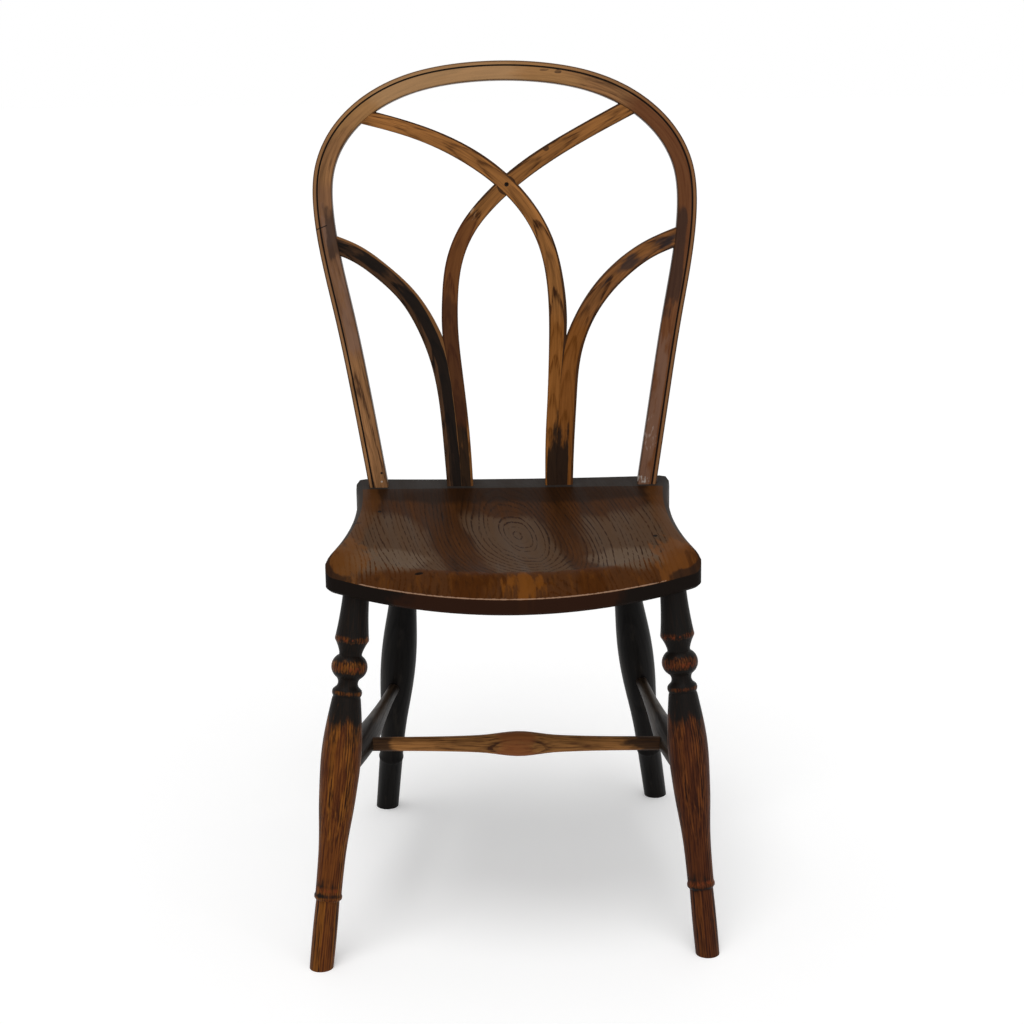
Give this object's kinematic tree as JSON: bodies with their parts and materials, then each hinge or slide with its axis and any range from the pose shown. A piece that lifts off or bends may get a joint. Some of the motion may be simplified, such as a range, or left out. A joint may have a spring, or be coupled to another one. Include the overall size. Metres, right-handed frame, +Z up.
{
  "type": "windsor side chair",
  "caption": "Wooden bow-back side chair with two interlaced curved laths in the back, a hollowed plank seat, turned legs and an H of swelled stretchers.",
  "frame": {"origin": "on the floor under the middle of the chair", "axes": "+Z up, the chair faces -Y, +X to the right of someone looking at its front"},
  "size_m": [0.4516, 0.4948, 0.9302],
  "materials": {
    "seat_elm": "old dark elm, waxed, worn brighter on the front arris",
    "bow_ash": "honey to red-brown ash, waxed satin",
    "lath_ash": "golden brown ash with dark cathedral grain",
    "arch_dark_ash": "near black old stain with rubbed orange edges",
    "arch_brown_ash": "brown with dark patches",
    "front_leg_wood": "stained, black at the turned tops, rubbed orange-brown",
    "back_leg_wood": "near black stain, satin",
    "side_stretcher_wood": "dark stain with a grey sheen",
    "cross_stretcher_wood": "golden brown with dark ends",
    "peg_wood": "dark end grain",
    "wedge_wood": "dark end grain"
  },
  "bodies": {
    "root": {"seat": "seat_elm", "bow": "bow_ash", "lath_right_to_left": "lath_ash", "lath_left_to_right": "lath_ash", "arch_left": "arch_dark_ash", "arch_right": "arch_brown_ash", "leg_front_left": "front_leg_wood", "leg_front_right": "front_leg_wood", "leg_back_left": "back_leg_wood", "leg_back_right": "back_leg_wood", "stretcher_left": "side_stretcher_wood", "stretcher_right": "side_stretcher_wood", "stretcher_cross": "cross_stretcher_wood", "crossing_peg": "peg_wood", "wedge_left": "wedge_wood", "wedge_right": "wedge_wood"}
  },
  "joints": []
}
